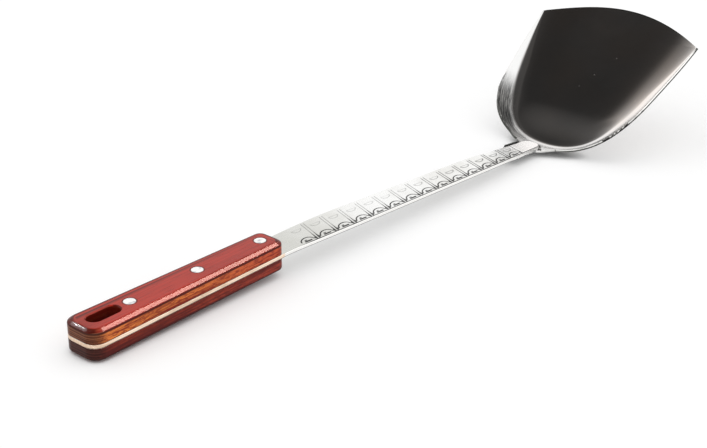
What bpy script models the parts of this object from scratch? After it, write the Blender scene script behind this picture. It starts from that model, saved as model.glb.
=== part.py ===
# Cooking spatula with a dished, shield-shaped blade and a full-tang riveted wooden handle.
# It lies on the table, +X runs from the butt of the handle to the blade, +Z is up.
import math

import bmesh
import bpy
from mathutils import Matrix, Vector

MM = 0.001

# Steel bar: tang inside the handle, then the bare shaft.
BAR_THICKNESS = 2.0 * MM
BUTT_WIDTH = 20.9 * MM
HANDLE_FRONT_WIDTH = 16.4 * MM
NOSE_WIDTH = 11.0 * MM
BUTT_CORNER_RADIUS = 6.2 * MM
NOSE_CORNER_RADIUS = 4.2 * MM
SHAFT_LENGTH = 203.6 * MM
BEND_LENGTH = 10.0 * MM
SHAFT_SLOPE_DEG = 3.18
BAR_EDGE_BREAK = 0.3 * MM

# Wooden scales on both faces of the tang.
HANDLE_LENGTH = 114.4 * MM
SCALE_THICKNESS = 6.3 * MM
SCALE_FRONT_RADIUS = 5.0 * MM
SCALE_EDGE_ROUND = 2.2 * MM

# Rivets, evenly spaced along the handle, and the slot the spatula hangs by.
RIVET_DIAMETER = 5.6 * MM
FIRST_RIVET = 28.5 * MM
LAST_RIVET_FROM_FRONT = 8.3 * MM
RIVET_EDGE_BREAK = 0.2 * MM
SLOT_START = 5.8 * MM
SLOT_LENGTH = 16.8 * MM
SLOT_WIDTH = 7.4 * MM
SLOT_CHAMFER = 0.5 * MM

# Blade, measured in the plane of its floor from the heel crease forward.
BLADE_THICKNESS = 1.2 * MM
BLADE_PITCH_DEG = 37.6
BLADE_LENGTH = 84.5 * MM
BLADE_WIDTH = 101.4 * MM
FRONT_BULGE = 14.5 * MM
FLOOR_SAG = 2.4 * MM
SAG_RUN = 30.0 * MM
SHOULDER_REACH = 40.0 * MM
SHOULDER_WIDTH = 82.6 * MM
HEEL_FULLNESS = 24.0 * MM
SHOULDER_PULL = 26.0 * MM
SHOULDER_RISE = 7.0 * MM
SIDE_PULL = 14.0 * MM
SIDE_RISE = 3.4 * MM
CORNER_PULL = 15.0 * MM
CORNER_RISE = 2.1 * MM
CORNER_CUT = 0.9 * MM

# Wall round the back and sides of the blade.
WALL_SLANT = 9.8 * MM
WALL_SLANT_BESIDE_NECK = 7.2 * MM
WALL_SLANT_AT_CORNER = 0.3 * MM
WALL_PEAK = 27.0 * MM
WALL_FLARE_DEG = 50.0
WALL_BEND = 2.6 * MM

# Neck: the blade's tail plate runs under the end of the shaft, and a bead joins it to the nose.
HEEL_AHEAD_OF_NOSE = 10.0 * MM
HEEL_DROP = 3.4 * MM
TAIL_AHEAD_OF_NOSE = 1.7 * MM
TAIL_BEHIND_NOSE = 23.2 * MM
TAIL_FLAT_WIDTH = 12.6 * MM
TAIL_END_WIDTH = 13.2 * MM
TAIL_CORNER = 3.0 * MM
NECK_WIDTH = 23.6 * MM
NECK_RIM_SLANT = 9.9 * MM
NECK_BLEND = 8.0 * MM
SHOULDER_BLEND = 14.0 * MM
WELD_RADIUS = 0.65 * MM
WELD_SWEEP_DEG = 75.0
WELD_THINNING_SHARE = 0.9

CLEARANCE = 0.3 * MM
CUT_MARGIN = 4.0 * MM
LEVEL_TOLERANCE = 0.03 * MM
MOST_TILT_DEG = 5.0

RIVET_COUNT = 3
ROUND_PROFILE_SHARE = 0.5
SHOULDER_SHARE = 0.5
ARC_STEPS = 8
ROUND_STEPS = 4
CIRCLE_STEPS = 40
BEND_STEPS = 5
FLOOR_ROWS = 9
WALL_BEND_ROWS = 3
REAR_COLUMNS = 24
SIDE_COLUMNS = 9
REAR_CROWDING = 1.4
TAIL_ROWS = 8
TUBE_STEPS = 10
SETTLE_STEPS = 40


def clear_scene():
    for obj in list(bpy.data.objects):
        bpy.data.objects.remove(obj)


def make_material(name, color, metallic, roughness):
    material = bpy.data.materials.new(name)
    material.use_nodes = True
    shader = material.node_tree.nodes["Principled BSDF"]
    shader.inputs["Base Color"].default_value = (*color, 1.0)
    shader.inputs["Metallic"].default_value = metallic
    shader.inputs["Roughness"].default_value = roughness
    material.diffuse_color = (*color, 1.0)
    return material


def add_piece(name, bm, material, smooth_angle_deg=35.0):
    bmesh.ops.recalc_face_normals(bm, faces=bm.faces)
    mesh = bpy.data.meshes.new(name)
    bm.to_mesh(mesh)
    bm.free()
    if material:
        mesh.materials.append(material)
    mesh.shade_smooth()
    mesh.set_sharp_from_angle(angle=math.radians(smooth_angle_deg))
    piece = bpy.data.objects.new(name, mesh)
    bpy.context.collection.objects.link(piece)
    return piece


def rounded_outline(corners, radii, steps):
    """Polygon whose corners are replaced by arcs of the given radii."""
    points = []
    count = len(corners)
    for index, radius in enumerate(radii):
        corner = Vector(corners[index])
        before = (Vector(corners[index - 1]) - corner).normalized()
        after = (Vector(corners[(index + 1) % count]) - corner).normalized()
        if radius == 0:
            points.append(corner)
            continue
        half = before.angle(after) / 2
        centre = corner + (before + after).normalized() * radius / math.sin(half)
        start = corner + before * radius / math.tan(half) - centre
        end = corner + after * radius / math.tan(half) - centre
        first = math.atan2(start.y, start.x)
        sweep = math.remainder(math.atan2(end.y, end.x) - first, math.tau)
        for step in range(steps + 1):
            angle = first + sweep * step / steps
            points.append(centre + Vector((math.cos(angle), math.sin(angle))) * radius)
    return points


def prism(outline, bottom, top):
    bm = bmesh.new()
    face = bm.faces.new([bm.verts.new((x, y, bottom)) for x, y in outline])
    grown = bmesh.ops.extrude_face_region(bm, geom=[face])
    raised = [item for item in grown["geom"] if isinstance(item, bmesh.types.BMVert)]
    bmesh.ops.translate(bm, verts=raised, vec=(0, 0, top - bottom))
    bmesh.ops.recalc_face_normals(bm, faces=bm.faces)
    return bm


def level_edges(bm, height):
    """Edges of the flat face at this height."""
    return [edge for edge in bm.edges
            if all(abs(vert.co.z - height) < LEVEL_TOLERANCE for vert in edge.verts)]


def round_edges(bm, height, radius, segments):
    bmesh.ops.bevel(bm, geom=level_edges(bm, height), offset=radius, segments=segments,
                    profile=ROUND_PROFILE_SHARE, affect="EDGES", clamp_overlap=True)


def bar_drop(x):
    """How far the bar's middle plane has dropped at x; the bend starts at the handle's front."""
    slope = math.tan(math.radians(SHAFT_SLOPE_DEG))
    run = x - HANDLE_LENGTH
    if run <= 0:
        return 0
    if run < BEND_LENGTH:
        return slope * run * run / (2 * BEND_LENGTH)
    return slope * (run - BEND_LENGTH / 2)


def make_bar(material):
    end = HANDLE_LENGTH + SHAFT_LENGTH
    half = [BUTT_WIDTH / 2, HANDLE_FRONT_WIDTH / 2, NOSE_WIDTH / 2]
    corners = [(0, -half[0]), (HANDLE_LENGTH, -half[1]), (end, -half[2]),
               (end, half[2]), (HANDLE_LENGTH, half[1]), (0, half[0])]
    radii = [BUTT_CORNER_RADIUS, 0, NOSE_CORNER_RADIUS, NOSE_CORNER_RADIUS, 0, BUTT_CORNER_RADIUS]
    bm = prism(rounded_outline(corners, radii, ARC_STEPS), -BAR_THICKNESS / 2, BAR_THICKNESS / 2)
    round_edges(bm, BAR_THICKNESS / 2, BAR_EDGE_BREAK, 2)
    round_edges(bm, -BAR_THICKNESS / 2, BAR_EDGE_BREAK, 2)
    for step in range(1, BEND_STEPS + 1):
        cut = HANDLE_LENGTH + BEND_LENGTH * step / BEND_STEPS
        geometry = bm.verts[:] + bm.edges[:] + bm.faces[:]
        bmesh.ops.bisect_plane(bm, geom=geometry, plane_co=(cut, 0, 0), plane_no=(1, 0, 0))
    for vert in bm.verts:
        vert.co.z -= bar_drop(vert.co.x)
    return add_piece("shaft_tang", bm, material)


def make_scale(name, side, material):
    """One wooden scale; side is 1 above the tang and -1 below it."""
    half = [BUTT_WIDTH / 2, HANDLE_FRONT_WIDTH / 2]
    corners = [(0, -half[0]), (HANDLE_LENGTH, -half[1]), (HANDLE_LENGTH, half[1]), (0, half[0])]
    radii = [BUTT_CORNER_RADIUS, SCALE_FRONT_RADIUS, SCALE_FRONT_RADIUS, BUTT_CORNER_RADIUS]
    inner = side * (BAR_THICKNESS / 2 + CLEARANCE)
    outer = inner + side * SCALE_THICKNESS
    bm = prism(rounded_outline(corners, radii, ARC_STEPS), min(inner, outer), max(inner, outer))
    round_edges(bm, outer, SCALE_EDGE_ROUND, ROUND_STEPS)
    return add_piece(name, bm, material)


def rivet_places():
    pitch = (HANDLE_LENGTH - LAST_RIVET_FROM_FRONT - FIRST_RIVET) / (RIVET_COUNT - 1)
    return [FIRST_RIVET + pitch * index for index in range(RIVET_COUNT)]


def handle_half_height():
    return BAR_THICKNESS / 2 + CLEARANCE + SCALE_THICKNESS


def make_rivet(name, place, material):
    bm = bmesh.new()
    bmesh.ops.create_cone(bm, cap_ends=True, segments=CIRCLE_STEPS, radius1=RIVET_DIAMETER / 2,
                          radius2=RIVET_DIAMETER / 2, depth=2 * handle_half_height())
    for height in (handle_half_height(), -handle_half_height()):
        round_edges(bm, height, RIVET_EDGE_BREAK, 1)
    bmesh.ops.translate(bm, verts=bm.verts, vec=(place, 0, 0))
    return add_piece(name, bm, material)


def slot_ring(bm, grow, height):
    radius = SLOT_WIDTH / 2 + grow
    first = SLOT_START + SLOT_WIDTH / 2
    last = SLOT_START + SLOT_LENGTH - SLOT_WIDTH / 2
    ring = []
    for centre, turn in ((last, -math.pi / 2), (first, math.pi / 2)):
        for step in range(ARC_STEPS * 2 + 1):
            angle = turn + math.pi * step / (ARC_STEPS * 2)
            ring.append(bm.verts.new((centre + radius * math.cos(angle), radius * math.sin(angle), height)))
    return ring


def make_cutters():
    """Slot and rivet holes in one tool, longer than the handle is thick."""
    bm = bmesh.new()
    face_height = handle_half_height()
    reach = face_height + CUT_MARGIN
    flare = SLOT_CHAMFER + CUT_MARGIN
    rings = [slot_ring(bm, flare, -reach), slot_ring(bm, 0, SLOT_CHAMFER - face_height),
             slot_ring(bm, 0, face_height - SLOT_CHAMFER), slot_ring(bm, flare, reach)]
    for low, high in zip(rings, rings[1:]):
        for index in range(len(low)):
            after = (index + 1) % len(low)
            bm.faces.new((low[index], low[after], high[after], high[index]))
    bm.faces.new(reversed(rings[0]))
    bm.faces.new(rings[-1])
    for place in rivet_places():
        made = bmesh.ops.create_cone(bm, cap_ends=True, segments=CIRCLE_STEPS,
                                     radius1=RIVET_DIAMETER / 2 + CLEARANCE,
                                     radius2=RIVET_DIAMETER / 2 + CLEARANCE, depth=2 * reach)
        bmesh.ops.translate(bm, verts=made["verts"], vec=(place, 0, 0))
    cutter = add_piece("handle_cutter", bm, None)
    cutter.hide_render = True
    cutter.display_type = "WIRE"
    return cutter


def cut(piece, cutter):
    modifier = piece.modifiers.new("Holes", "BOOLEAN")
    modifier.operation = "DIFFERENCE"
    modifier.solver = "EXACT"
    modifier.object = cutter


def bezier(points, share):
    """Point and direction at this share of a cubic curve."""
    p0, p1, p2, p3 = (Vector(point) for point in points)
    rest = 1 - share
    place = p0 * rest**3 + p1 * 3 * rest**2 * share + p2 * 3 * rest * share**2 + p3 * share**3
    way = (p1 - p0) * rest**2 + (p2 - p1) * 2 * rest * share + (p3 - p2) * share**2
    return place, way.normalized()


def crease(share):
    """Half of the line where floor meets wall: from the heel over the shoulder to the front corner."""
    shoulder = (SHOULDER_REACH, SHOULDER_WIDTH / 2)
    corner = (BLADE_LENGTH, BLADE_WIDTH / 2)
    if share <= SHOULDER_SHARE:
        return bezier([(0, 0), (0, HEEL_FULLNESS),
                       (shoulder[0] - SHOULDER_PULL, shoulder[1] - SHOULDER_RISE), shoulder],
                      share / SHOULDER_SHARE)
    return bezier([shoulder, (shoulder[0] + SIDE_PULL, shoulder[1] + SIDE_RISE),
                   (corner[0] - CORNER_PULL, corner[1] - CORNER_RISE), corner],
                  (share - SHOULDER_SHARE) / (1 - SHOULDER_SHARE))


def smooth_step(value):
    value = min(max(value, 0), 1)
    return value * value * (3 - 2 * value)


def floor_height(along, across):
    """Dish of the floor below the plane of its crease."""
    low, high = 0, 1
    for _ in range(SETTLE_STEPS):
        middle = (low + high) / 2
        if crease(middle)[0].x < along:
            low = middle
        else:
            high = middle
    half = crease(low)[0].y if along < BLADE_LENGTH else BLADE_WIDTH / 2
    out = min(abs(across) / max(half, CLEARANCE), 1)
    return -FLOOR_SAG * (1 - out * out) * smooth_step(along / SAG_RUN)


def wall_slant(along, across):
    """Slant height of the wall: a lip beside the nose, low behind it, high at the shoulder, fading to the corners."""
    if along > WALL_PEAK:
        fade = (along - WALL_PEAK) / (BLADE_LENGTH - WALL_PEAK)
        return WALL_SLANT + (WALL_SLANT_AT_CORNER - WALL_SLANT) * fade
    at_nose = math.hypot(HEEL_AHEAD_OF_NOSE - TAIL_AHEAD_OF_NOSE, HEEL_DROP)
    beside_flat = smooth_step((2 * across - TAIL_FLAT_WIDTH) / (NECK_WIDTH - TAIL_FLAT_WIDTH))
    beyond_neck = smooth_step((across - NECK_WIDTH / 2) / NECK_BLEND)
    at_shoulder = smooth_step((across - NECK_WIDTH / 2 - NECK_BLEND) / SHOULDER_BLEND)
    neck_slant = at_nose + (NECK_RIM_SLANT - at_nose) * beside_flat
    wall = WALL_SLANT_BESIDE_NECK + (WALL_SLANT - WALL_SLANT_BESIDE_NECK) * at_shoulder
    return neck_slant + (wall - neck_slant) * beyond_neck


def wall_flare(across):
    rise = BLADE_PITCH_DEG + math.degrees(math.atan2(HEEL_DROP, HEEL_AHEAD_OF_NOSE - TAIL_AHEAD_OF_NOSE))
    reach = TAIL_FLAT_WIDTH / 2 + NECK_BLEND + SHOULDER_BLEND
    share = smooth_step((across - TAIL_FLAT_WIDTH / 2) / reach)
    return math.radians(rise + (WALL_FLARE_DEG - rise) * share)


def heel_point():
    nose = HANDLE_LENGTH + SHAFT_LENGTH
    return Vector((nose + HEEL_AHEAD_OF_NOSE, 0, tail_top(nose) - HEEL_DROP))


def blade_to_bar(along, across, height):
    pitch = math.radians(BLADE_PITCH_DEG)
    heel = heel_point()
    return Vector((heel.x + along * math.cos(pitch) - height * math.sin(pitch), across,
                   heel.z + along * math.sin(pitch) + height * math.cos(pitch)))


def blade_column(share, side):
    """Points of one column of the blade, from its front edge over the floor and up the wall."""
    base, way = crease(share)
    out = Vector((-way.y, way.x))
    edge_half = (BLADE_WIDTH / 2 - CORNER_CUT) * share
    edge_along = BLADE_LENGTH + FRONT_BULGE * (1 - (edge_half / (BLADE_WIDTH / 2)) ** 2)
    slant = wall_slant(base.x, base.y)
    flare = wall_flare(base.y)
    bend = min(WALL_BEND, slant / 2)
    inner = base - out * bend
    column = []
    for row in range(FLOOR_ROWS + 1):
        place = Vector((edge_along, edge_half)).lerp(inner, row / FLOOR_ROWS)
        column.append((place.x, place.y, floor_height(place.x, place.y)))
    start_height = column[-1][2]
    for row in range(1, WALL_BEND_ROWS + 1):
        t = row / WALL_BEND_ROWS
        offset = -bend * (1 - t) ** 2 + bend * math.cos(flare) * t * t
        height = start_height * (1 - t) ** 2 + bend * math.sin(flare) * t * t
        column.append((*(base + out * offset), height))
    column.append((*(base + out * slant * math.cos(flare)), slant * math.sin(flare)))
    return [blade_to_bar(along, across * side, height) for along, across, height in column]


def tail_top(x):
    return -bar_drop(x) - BAR_THICKNESS / 2 - CLEARANCE


def tail_row(neck, share):
    """One row across the tail plate: its raised sides sink and draw in from the neck to the end."""
    end = HANDLE_LENGTH + SHAFT_LENGTH - TAIL_BEHIND_NOSE
    half = max(point.y for point in neck)
    row = []
    for point in neck:
        across = point.y / half
        narrowed = half + (TAIL_END_WIDTH / 2 - half) * share
        corner = TAIL_CORNER * across**4 * smooth_step(share * 3 - 2)
        x = point.x + (end - point.x) * share + corner
        lift = (point.z - tail_top(point.x)) * (1 - share)
        row.append(Vector((x, across * narrowed, tail_top(x) + lift)))
    return row


def blade_shares():
    rear = [SHOULDER_SHARE * (index / REAR_COLUMNS) ** REAR_CROWDING for index in range(REAR_COLUMNS)]
    side = [SHOULDER_SHARE + (1 - SHOULDER_SHARE) * index / SIDE_COLUMNS
            for index in range(SIDE_COLUMNS + 1)]
    return rear + side


def make_blade(material):
    bm = bmesh.new()
    shares = blade_shares()
    columns = [blade_column(share, 1) for share in reversed(shares)]
    columns += [blade_column(share, -1) for share in shares[1:]]
    grid = [[bm.verts.new(point) for point in column] for column in columns]
    for left, right in zip(grid, grid[1:]):
        for row in range(len(left) - 1):
            bm.faces.new((left[row], left[row + 1], right[row + 1], right[row]))
    neck = [index for index, share in enumerate(reversed(shares))
            if crease(share)[0].y < NECK_WIDTH / 2]
    first = neck[0]
    last = 2 * (len(shares) - 1) - first
    previous = [grid[index][-1] for index in range(first, last + 1)]
    rim = [vert.co.copy() for vert in previous]
    for step in range(1, TAIL_ROWS + 1):
        row = [bm.verts.new(point) for point in tail_row(rim, step / TAIL_ROWS)]
        for index in range(len(row) - 1):
            bm.faces.new((previous[index], row[index], row[index + 1], previous[index + 1]))
        previous = row
    blade = add_piece("blade", bm, material, smooth_angle_deg=60.0)
    if blade.data.polygons[0].normal.z < 0:
        blade.data.flip_normals()
    sheet = blade.modifiers.new("Sheet", "SOLIDIFY")
    sheet.thickness = BLADE_THICKNESS
    sheet.offset = -1
    sheet.use_even_offset = False
    sheet.use_quality_normals = True
    return blade


def make_weld(material):
    """Bead on the tail plate, round the front of the shaft's nose, thinning out at both ends."""
    bm = bmesh.new()
    nose = HANDLE_LENGTH + SHAFT_LENGTH
    reach = NOSE_CORNER_RADIUS + CLEARANCE + WELD_RADIUS
    sweep = math.radians(WELD_SWEEP_DEG)
    rings = []
    for step in range(2 * ARC_STEPS + 1):
        across = step / ARC_STEPS - 1
        angle = sweep * across
        centre_y = (NOSE_WIDTH / 2 - NOSE_CORNER_RADIUS) * across
        outward = Vector((math.cos(angle), math.sin(angle), 0))
        centre = Vector((nose - NOSE_CORNER_RADIUS, centre_y, 0)) + outward * reach
        centre.z = -bar_drop(nose) - BAR_THICKNESS / 2 + WELD_RADIUS
        radius = WELD_RADIUS * math.sqrt(1 - WELD_THINNING_SHARE * across**2)
        ring = []
        for index in range(TUBE_STEPS):
            turn = math.tau * index / TUBE_STEPS
            ring.append(bm.verts.new(centre + outward * radius * math.cos(turn)
                                     + Vector((0, 0, radius * math.sin(turn)))))
        rings.append(ring)
    for ring, following in zip(rings, rings[1:]):
        for index in range(TUBE_STEPS):
            after = (index + 1) % TUBE_STEPS
            bm.faces.new((ring[index], ring[after], following[after], following[index]))
    bm.faces.new(reversed(rings[0]))
    bm.faces.new(rings[-1])
    return add_piece("neck_weld", bm, material)


def lowest(piece, turn):
    evaluated = piece.evaluated_get(bpy.context.evaluated_depsgraph_get())
    mesh = evaluated.to_mesh()
    height = min((turn @ vert.co).z for vert in mesh.vertices)
    evaluated.to_mesh_clear()
    return height


def settle(butt, heel, pieces):
    """Tips the spatula until butt and heel touch the table, then centres it on the origin."""
    low, high = 0.0, math.radians(MOST_TILT_DEG)
    for _ in range(SETTLE_STEPS):
        middle = (low + high) / 2
        turn = Matrix.Rotation(-middle, 4, "Y")
        if lowest(heel, turn) < lowest(butt, turn):
            low = middle
        else:
            high = middle
    turn = Matrix.Rotation(-low, 4, "Y")
    depsgraph = bpy.context.evaluated_depsgraph_get()
    points = [turn @ Vector(corner) for piece in pieces
              for corner in (vert.co for vert in piece.evaluated_get(depsgraph).data.vertices)]
    middle_x = (min(point.x for point in points) + max(point.x for point in points)) / 2
    place = Matrix.Translation((-middle_x, 0, -min(point.z for point in points))) @ turn
    for mesh in {piece.data for piece in bpy.context.collection.objects}:
        mesh.transform(place)


def main():
    clear_scene()
    steel = make_material("polished_steel", (0.72, 0.72, 0.71), 1.0, 0.22)
    blade_steel = make_material("blade_steel", (0.66, 0.66, 0.65), 1.0, 0.25)
    top_wood = make_material("upper_wood", (0.30, 0.055, 0.030), 0.0, 0.28)
    low_wood = make_material("lower_wood", (0.22, 0.040, 0.022), 0.0, 0.30)
    rivet_steel = make_material("rivet_metal", (0.86, 0.86, 0.84), 1.0, 0.35)
    weld_steel = make_material("weld_metal", (0.55, 0.54, 0.52), 1.0, 0.45)
    bar = make_bar(steel)
    upper = make_scale("upper_scale", 1, top_wood)
    lower = make_scale("lower_scale", -1, low_wood)
    cutter = make_cutters()
    for piece in (bar, upper, lower):
        cut(piece, cutter)
    pieces = [bar, upper, lower]
    for index, place in enumerate(rivet_places()):
        pieces.append(make_rivet(f"rivet_{index + 1}", place, rivet_steel))
    blade = make_blade(blade_steel)
    pieces += [blade, make_weld(weld_steel)]
    bpy.context.view_layer.update()
    settle(lower, blade, pieces)


main()
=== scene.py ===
import math

import bmesh
import bpy
import numpy as np
from mathutils import Matrix, Vector


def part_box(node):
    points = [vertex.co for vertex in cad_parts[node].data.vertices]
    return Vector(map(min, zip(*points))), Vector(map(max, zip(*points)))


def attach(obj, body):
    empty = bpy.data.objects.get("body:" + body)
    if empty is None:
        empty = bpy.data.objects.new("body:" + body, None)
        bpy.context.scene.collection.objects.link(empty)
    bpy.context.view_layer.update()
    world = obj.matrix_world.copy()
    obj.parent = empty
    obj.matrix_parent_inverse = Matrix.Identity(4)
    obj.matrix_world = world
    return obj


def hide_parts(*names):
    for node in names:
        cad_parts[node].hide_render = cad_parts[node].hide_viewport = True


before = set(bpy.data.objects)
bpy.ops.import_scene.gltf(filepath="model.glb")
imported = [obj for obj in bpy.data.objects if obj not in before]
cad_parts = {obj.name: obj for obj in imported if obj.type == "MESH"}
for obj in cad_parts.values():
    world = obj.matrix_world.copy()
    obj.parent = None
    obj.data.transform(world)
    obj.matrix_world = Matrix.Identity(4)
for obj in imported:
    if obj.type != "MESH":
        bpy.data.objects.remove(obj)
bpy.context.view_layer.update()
mm = 0.001
scene = bpy.context.scene
print("frame loaded")


# Small tools for node trees

# a socket that can stand in a Python sum; each operation adds one Math node
class Wire:
    def __init__(self, graph, socket):
        self.graph, self.socket = graph, socket

    def math(self, operation, *values):
        return self.graph.add("ShaderNodeMath", {"operation": operation}, dict(enumerate(values)))

    def out(self, name):
        return Wire(self.graph, self.socket.node.outputs[name])

    def __add__(self, other):
        return self.math("ADD", self, other)

    __radd__ = __add__

    def __sub__(self, other):
        return self.math("SUBTRACT", self, other)

    def __rsub__(self, other):
        return self.math("SUBTRACT", other, self)

    def __mul__(self, other):
        return self.math("MULTIPLY", self, other)

    __rmul__ = __mul__

    def __truediv__(self, other):
        return self.math("DIVIDE", self, other)

    def __rtruediv__(self, other):
        return self.math("DIVIDE", other, self)

    def __mod__(self, other):
        return self.math("FLOORED_MODULO", self, other)

    def __pow__(self, other):
        return self.math("POWER", self, other)

    def __abs__(self):
        return self.math("ABSOLUTE", self)

    def __neg__(self):
        return self.math("MULTIPLY", self, -1.0)

    def most(self, other):
        return self.math("MAXIMUM", self, other)

    def least(self, other):
        return self.math("MINIMUM", self, other)


class Graph:
    def __init__(self, tree):
        self.tree = tree

    # settings are written first, then the sockets by name or number
    def add(self, kind, settings=None, values=None, out=0):
        node = self.tree.nodes.new(kind)
        for key, value in (settings or {}).items():
            setattr(node, key, value)
        for key, value in (values or {}).items():
            if isinstance(value, Wire):
                self.tree.links.new(value.socket, node.inputs[key])
            else:
                node.inputs[key].default_value = value
        return Wire(self, node.outputs[out]) if len(node.outputs) else node

    def smooth(self, value, low, high, toLow=0.0, toHigh=1.0):
        return self.add("ShaderNodeMapRange", {"interpolation_type": "SMOOTHSTEP"},
                        {"Value": value, "From Min": low, "From Max": high,
                         "To Min": toLow, "To Max": toHigh})

    # 1 on the line where value is 0, fading out over halfWidth
    def band(self, value, halfWidth):
        return self.smooth(abs(value), 0.35 * halfWidth, halfWidth, 1.0, 0.0)

    # colours are wires or plain (red, green, blue)
    def mixColor(self, share, first, second):
        first, second = (c if isinstance(c, Wire) else (*c, 1.0) for c in (first, second))
        return self.add("ShaderNodeMix", {"data_type": "RGBA"}, {0: share, 6: first, 7: second}, out=2)

    def noise(self, place, scale, detail=3.0, roughness=0.5, distortion=0.0):
        return self.add("ShaderNodeTexNoise", None,
                        {"Vector": place, "Scale": scale, "Detail": detail,
                         "Roughness": roughness, "Distortion": distortion})

    # noise in layers, along one number only
    def layered(self, height, scale, detail, roughness=0.5):
        return self.add("ShaderNodeTexNoise", {"noise_dimensions": "1D"},
                        {"W": height, "Scale": scale, "Detail": detail, "Roughness": roughness})

    # noise stretched or squeezed along each axis
    def stretchedNoise(self, place, stretch, detail, roughness, distortion=0.0):
        place = self.add("ShaderNodeMapping", None, {"Vector": place, "Scale": stretch})
        return self.noise(place, 1.0, detail, roughness, distortion)

    def split(self, vector):
        return self.add("ShaderNodeSeparateXYZ", None, {0: vector})

    # "Object" or "Normal", in the piece's own space
    def coordinate(self, kind):
        return self.add("ShaderNodeTexCoord", out=kind)

    # a mesh attribute, read by a finish or by a Geometry Nodes tree
    def attribute(self, name):
        return self.add("ShaderNodeAttribute", {"attribute_name": name}, out="Fac")

    def field(self, name):
        return self.add("GeometryNodeInputNamedAttribute", {"data_type": "FLOAT"}, {"Name": name})

    def store(self, geometry, name, value):
        return self.add("GeometryNodeStoreNamedAttribute", {"data_type": "FLOAT", "domain": "POINT"},
                        {"Geometry": geometry, "Name": name, "Value": value})


def newMaterial(name):
    material = bpy.data.materials.new(name)
    material.use_nodes = True
    shader = material.node_tree.nodes["Principled BSDF"]
    return material, Graph(material.node_tree), shader


def feed(graph, shader, **values):
    for name, value in values.items():
        socket = shader.inputs[name.replace("_", " ")]
        if isinstance(value, Wire):
            graph.tree.links.new(value.socket, socket)
        else:
            socket.default_value = value


def bumped(graph, height, distance, strength=1.0):
    return graph.add("ShaderNodeBump", None, {"Height": height, "Distance": distance, "Strength": strength})


# Where the handle's own straight frame lies on the table
# In that frame x runs from the butt along the tang and z is 0 in the middle of the tang.

rivetPlaces = (28.5 * mm, 67.3 * mm, 106.1 * mm)


def nodeCentre(name):
    low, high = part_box(name)
    return (Vector(low) + Vector(high)) / 2


firstRivet, lastRivet = nodeCentre("rivet_1"), nodeCentre("rivet_3")
restTilt = math.atan2(lastRivet.z - firstRivet.z, lastRivet.x - firstRivet.x)
tipping = Matrix.Rotation(-restTilt, 4, "Y")
toTable = Matrix.Translation(firstRivet - tipping @ Vector((rivetPlaces[0], 0, 0))) @ tipping
flatStart, _, flatZero = Matrix.Rotation(restTilt, 4, "Y") @ toTable.translation
buttEnd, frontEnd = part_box("upper_scale")[0][0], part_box("upper_scale")[1][0]
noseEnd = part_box("shaft_tang")[1][0]


def meshObject(name, vertices, faces, smoothDeg=40.0):
    mesh = bpy.data.meshes.new(name)
    mesh.from_pydata([tuple(v) for v in vertices], [], faces)
    mesh.update()
    mesh.shade_smooth()
    if smoothDeg:
        mesh.set_sharp_from_angle(angle=math.radians(smoothDeg))
    piece = bpy.data.objects.new(name, mesh)
    scene.collection.objects.link(piece)
    return piece


# one number for each vertex, for a finish or a tree to read
def mark(piece, name, values):
    layer = piece.data.attributes.new(name, "FLOAT", "POINT")
    layer.data.foreach_set("value", np.asarray(values, np.float32).reshape(-1))


# the evaluated object becomes a plain mesh and its modifiers go
def freeze(piece, smoothDeg=None):
    depsgraph = bpy.context.evaluated_depsgraph_get()
    mesh = bpy.data.meshes.new_from_object(piece.evaluated_get(depsgraph), depsgraph=depsgraph)
    piece.modifiers.clear()
    old, piece.data = piece.data, mesh
    if old.users == 0 and isinstance(old, bpy.types.Mesh):
        bpy.data.meshes.remove(old)
    if smoothDeg:
        mesh.shade_smooth()
        mesh.set_sharp_from_angle(angle=math.radians(smoothDeg))
    return piece


# from the handle's straight frame to the table, where the piece stands for a CAD node
def seat(piece, node):
    piece.data.transform(toTable)
    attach(piece, "root")
    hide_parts(node)


# a Geometry Nodes tree with named inputs; build returns its geometry
def addTree(piece, name, build, inputs):
    tree = bpy.data.node_groups.new(name, "GeometryNodeTree")
    tree.interface.new_socket("Geometry", in_out="INPUT", socket_type="NodeSocketGeometry")
    tree.interface.new_socket("Geometry", in_out="OUTPUT", socket_type="NodeSocketGeometry")
    identifiers = {}
    for key, value in inputs.items():
        kind = "NodeSocketMaterial" if isinstance(value, bpy.types.Material) else "NodeSocketFloat"
        socket = tree.interface.new_socket(key, in_out="INPUT", socket_type=kind)
        identifiers[key] = socket.identifier
    start = tree.nodes.new("NodeGroupInput")
    end = tree.nodes.new("NodeGroupOutput")
    graph = Graph(tree)
    wires = {key: Wire(graph, start.outputs[key]) for key in ["Geometry", *inputs]}
    made = build(graph, wires)
    made = graph.add("GeometryNodeRealizeInstances", None, {"Geometry": made})
    made = graph.add("GeometryNodeSetMaterial", None, {"Geometry": made, "Material": wires["Finish"]})
    tree.links.new(made.socket, end.inputs["Geometry"])
    modifier = piece.modifiers.new(name, "NODES")
    modifier.node_group = tree
    for key, value in inputs.items():
        modifier[identifiers[key]] = value
    return modifier


# Blade pressing
# Lengths in these dictionaries are in millimetres. The blade's floor, wall and neck are laid out on a plane
# that is pitched up from the heel; "along" runs to the front and "across" to the side.

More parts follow.
